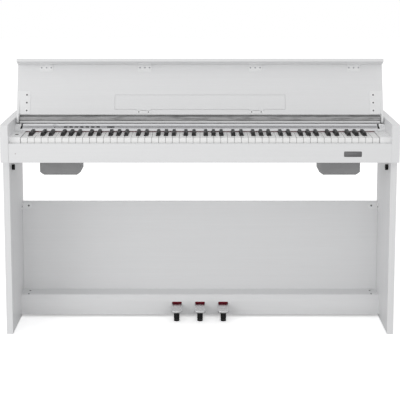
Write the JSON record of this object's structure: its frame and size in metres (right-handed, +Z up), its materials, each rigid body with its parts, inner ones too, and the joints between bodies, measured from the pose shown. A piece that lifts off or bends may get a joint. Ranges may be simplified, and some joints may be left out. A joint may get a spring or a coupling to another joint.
{
  "type": "digital piano on stand",
  "caption": "Slim upright digital piano: hammer-style keyboard in a shallow case with a folding lid that holds music, on a panel stand with a pedal box.",
  "frame": {"origin": "middle of the floor area under the piano, at floor level", "axes": "+X to the player's right along the keyboard, +Y away from the player, +Z up"},
  "size_m": [1.36, 0.4, 0.9557],
  "materials": {
    "white_panel": "satin white foil on board",
    "white_plastic": "moulded white, semi-gloss",
    "white_key": "glossy white key top",
    "black_key": "satin black key",
    "black_plastic": "moulded black",
    "pod_plastic": "fine-textured dark grey",
    "white_steel": "white powder coat",
    "black_steel": "black painted steel",
    "strip_metal": "brushed and anodised",
    "grille": "grey mottled strip",
    "plain_steel": "zinc plated",
    "pedal_metal": "polished plate",
    "knob_metal": "turned, satin",
    "felt": "dark red felt",
    "post_rubber": "black rubber",
    "driver": "dark speaker cone and basket",
    "board_green": "green laminate"
  },
  "bodies": {
    "case": {"left_side_panel": "white_panel", "right_side_panel": "white_panel", "left_leg": "white_panel", "right_leg": "white_panel", "key_bed": "white_panel", "key_slip": "white_panel", "rear_board": "white_panel", "top_board": "white_panel", "deck_rail": "white_panel", "modesty_panel": "white_panel", "pedal_box": "white_panel", "key_blocks": "white_plastic", "hinge_plates": "white_steel", "corner_brackets": "white_steel", "key_frame": "black_plastic", "strip_end_caps": "black_plastic", "jack_panel": "black_plastic", "leg_bolts": "black_plastic", "key_felt": "felt", "pedal_felts": "felt", "control_strip": "strip_metal", "circuit_board": "board_green", "grille_strip": "grille", "speaker_pods": "pod_plastic", "speaker_grilles": "pod_plastic", "speaker_drivers": "driver", "pedal_saddles": "plain_steel", "pedal_tray": "black_steel", "pedal_posts": "post_rubber"},
    "lid": {"lid_panel": "white_panel", "lid_lip": "white_panel", "lid_hinge_arms": "white_steel", "lip_brackets": "white_steel", "ledge_hinges": "white_steel"},
    "ledge": {"music_ledge": "white_panel"},
    "pedal_left": {"pedal_left": "pedal_metal"},
    "pedal_middle": {"pedal_middle": "pedal_metal"},
    "pedal_right": {"pedal_right": "pedal_metal"},
    "volume_knob": {"volume_knob": "knob_metal"},
    "power_button": {"power_button": "black_plastic"},
    "value_rocker": {"value_rocker": "black_plastic"},
    "button_1": {"button_1": "black_plastic"},
    "button_2": {"button_2": "black_plastic"},
    "button_3": {"button_3": "black_plastic"},
    "button_4": {"button_4": "black_plastic"},
    "button_5": {"button_5": "black_plastic"},
    "button_6": {"button_6": "black_plastic"},
    "button_7": {"button_7": "black_plastic"},
    "keys_c": {"keys_c": "white_key"},
    "keys_c_sharp": {"keys_c_sharp": "black_key"},
    "keys_d": {"keys_d": "white_key"},
    "keys_d_sharp": {"keys_d_sharp": "black_key"},
    "keys_e": {"keys_e": "white_key"},
    "keys_f": {"keys_f": "white_key"},
    "keys_f_sharp": {"keys_f_sharp": "black_key"},
    "keys_g": {"keys_g": "white_key"},
    "keys_g_sharp": {"keys_g_sharp": "black_key"},
    "keys_a": {"keys_a": "white_key"},
    "keys_a_sharp": {"keys_a_sharp": "black_key"},
    "keys_b": {"keys_b": "white_key"}
  },
  "joints": [
    {"name": "a_lid_hinge", "type": "hinge", "parent": "case", "child": "lid", "pos_m": [0, 0.0088, 0.7453], "axis": [1, 0, 0], "range_deg": [0, 110]},
    {"name": "b_ledge_hinge", "type": "hinge", "parent": "lid", "child": "ledge", "pos_m": [0, 0.01112, 0.77478], "axis": [-1, 0, 0], "range_deg": [-90, 0]},
    {"name": "c_pedal_left", "type": "hinge", "parent": "case", "child": "pedal_left", "pos_m": [-0.085, 0.129, 0.046], "axis": [1, 0, 0], "range_deg": [0, 3.89], "stiffness_Nm_per_rad": 12, "springref_deg": -5.73},
    {"name": "c_pedal_middle", "type": "hinge", "parent": "case", "child": "pedal_middle", "pos_m": [0, 0.129, 0.046], "axis": [1, 0, 0], "range_deg": [0, 3.89], "stiffness_Nm_per_rad": 12, "springref_deg": -5.73},
    {"name": "c_pedal_right", "type": "hinge", "parent": "case", "child": "pedal_right", "pos_m": [0.085, 0.129, 0.046], "axis": [1, 0, 0], "range_deg": [0, 3.89], "stiffness_Nm_per_rad": 12, "springref_deg": -5.73},
    {"name": "d_volume_turn", "type": "hinge", "parent": "case", "child": "volume_knob", "pos_m": [-0.514, -0.0185, 0.718], "axis": [0, -0.4258, 0.9048], "range_deg": [-150, 150]},
    {"name": "e_power_press", "type": "slide", "parent": "case", "child": "power_button", "axis": [0, 0, -1], "range_m": [0, 0.0012], "stiffness_N_per_m": 300, "springref_m": -0.0015},
    {"name": "e_rocker_tilt", "type": "hinge", "parent": "case", "child": "value_rocker", "pos_m": [-0.3154, -0.01807, 0.7171], "axis": [0, 0.9048, 0.4258], "range_deg": [-3, 3], "stiffness_Nm_per_rad": 0.06},
    {"name": "f_button_1_press", "type": "slide", "parent": "case", "child": "button_1", "axis": [0, 0.4258, -0.9048], "range_m": [0, 0.001], "stiffness_N_per_m": 250, "springref_m": -0.0015},
    {"name": "f_button_2_press", "type": "slide", "parent": "case", "child": "button_2", "axis": [0, 0.4258, -0.9048], "range_m": [0, 0.001], "stiffness_N_per_m": 250, "springref_m": -0.0015},
    {"name": "f_button_3_press", "type": "slide", "parent": "case", "child": "button_3", "axis": [0, 0.4258, -0.9048], "range_m": [0, 0.001], "stiffness_N_per_m": 250, "springref_m": -0.0015},
    {"name": "f_button_4_press", "type": "slide", "parent": "case", "child": "button_4", "axis": [0, 0.4258, -0.9048], "range_m": [0, 0.001], "stiffness_N_per_m": 250, "springref_m": -0.0015},
    {"name": "f_button_5_press", "type": "slide", "parent": "case", "child": "button_5", "axis": [0, 0.4258, -0.9048], "range_m": [0, 0.001], "stiffness_N_per_m": 250, "springref_m": -0.0015},
    {"name": "f_button_6_press", "type": "slide", "parent": "case", "child": "button_6", "axis": [0, 0.4258, -0.9048], "range_m": [0, 0.001], "stiffness_N_per_m": 250, "springref_m": -0.0015},
    {"name": "f_button_7_press", "type": "slide", "parent": "case", "child": "button_7", "axis": [0, 0.4258, -0.9048], "range_m": [0, 0.001], "stiffness_N_per_m": 250, "springref_m": -0.0015},
    {"name": "g_keys_c_press", "type": "hinge", "parent": "case", "child": "keys_c", "pos_m": [0, 0.0896, 0.692], "axis": [1, 0, 0], "range_deg": [0, 2.16], "stiffness_Nm_per_rad": 8, "springref_deg": -11.46},
    {"name": "g_keys_c_sharp_press", "type": "hinge", "parent": "case", "child": "keys_c_sharp", "pos_m": [0, 0.0896, 0.692], "axis": [1, 0, 0], "range_deg": [0, 2.16], "stiffness_Nm_per_rad": 8, "springref_deg": -11.46},
    {"name": "g_keys_d_press", "type": "hinge", "parent": "case", "child": "keys_d", "pos_m": [0, 0.0896, 0.692], "axis": [1, 0, 0], "range_deg": [0, 2.16], "stiffness_Nm_per_rad": 8, "springref_deg": -11.46},
    {"name": "g_keys_d_sharp_press", "type": "hinge", "parent": "case", "child": "keys_d_sharp", "pos_m": [0, 0.0896, 0.692], "axis": [1, 0, 0], "range_deg": [0, 2.16], "stiffness_Nm_per_rad": 8, "springref_deg": -11.46},
    {"name": "g_keys_e_press", "type": "hinge", "parent": "case", "child": "keys_e", "pos_m": [0, 0.0896, 0.692], "axis": [1, 0, 0], "range_deg": [0, 2.16], "stiffness_Nm_per_rad": 8, "springref_deg": -11.46},
    {"name": "g_keys_f_press", "type": "hinge", "parent": "case", "child": "keys_f", "pos_m": [0, 0.0896, 0.692], "axis": [1, 0, 0], "range_deg": [0, 2.16], "stiffness_Nm_per_rad": 8, "springref_deg": -11.46},
    {"name": "g_keys_f_sharp_press", "type": "hinge", "parent": "case", "child": "keys_f_sharp", "pos_m": [0, 0.0896, 0.692], "axis": [1, 0, 0], "range_deg": [0, 2.16], "stiffness_Nm_per_rad": 8, "springref_deg": -11.46},
    {"name": "g_keys_g_press", "type": "hinge", "parent": "case", "child": "keys_g", "pos_m": [0, 0.0896, 0.692], "axis": [1, 0, 0], "range_deg": [0, 2.16], "stiffness_Nm_per_rad": 8, "springref_deg": -11.46},
    {"name": "g_keys_g_sharp_press", "type": "hinge", "parent": "case", "child": "keys_g_sharp", "pos_m": [0, 0.0896, 0.692], "axis": [1, 0, 0], "range_deg": [0, 2.16], "stiffness_Nm_per_rad": 8, "springref_deg": -11.46},
    {"name": "g_keys_a_press", "type": "hinge", "parent": "case", "child": "keys_a", "pos_m": [0, 0.0896, 0.692], "axis": [1, 0, 0], "range_deg": [0, 2.16], "stiffness_Nm_per_rad": 8, "springref_deg": -11.46},
    {"name": "g_keys_a_sharp_press", "type": "hinge", "parent": "case", "child": "keys_a_sharp", "pos_m": [0, 0.0896, 0.692], "axis": [1, 0, 0], "range_deg": [0, 2.16], "stiffness_Nm_per_rad": 8, "springref_deg": -11.46},
    {"name": "g_keys_b_press", "type": "hinge", "parent": "case", "child": "keys_b", "pos_m": [0, 0.0896, 0.692], "axis": [1, 0, 0], "range_deg": [0, 2.16], "stiffness_Nm_per_rad": 8, "springref_deg": -11.46}
  ]
}
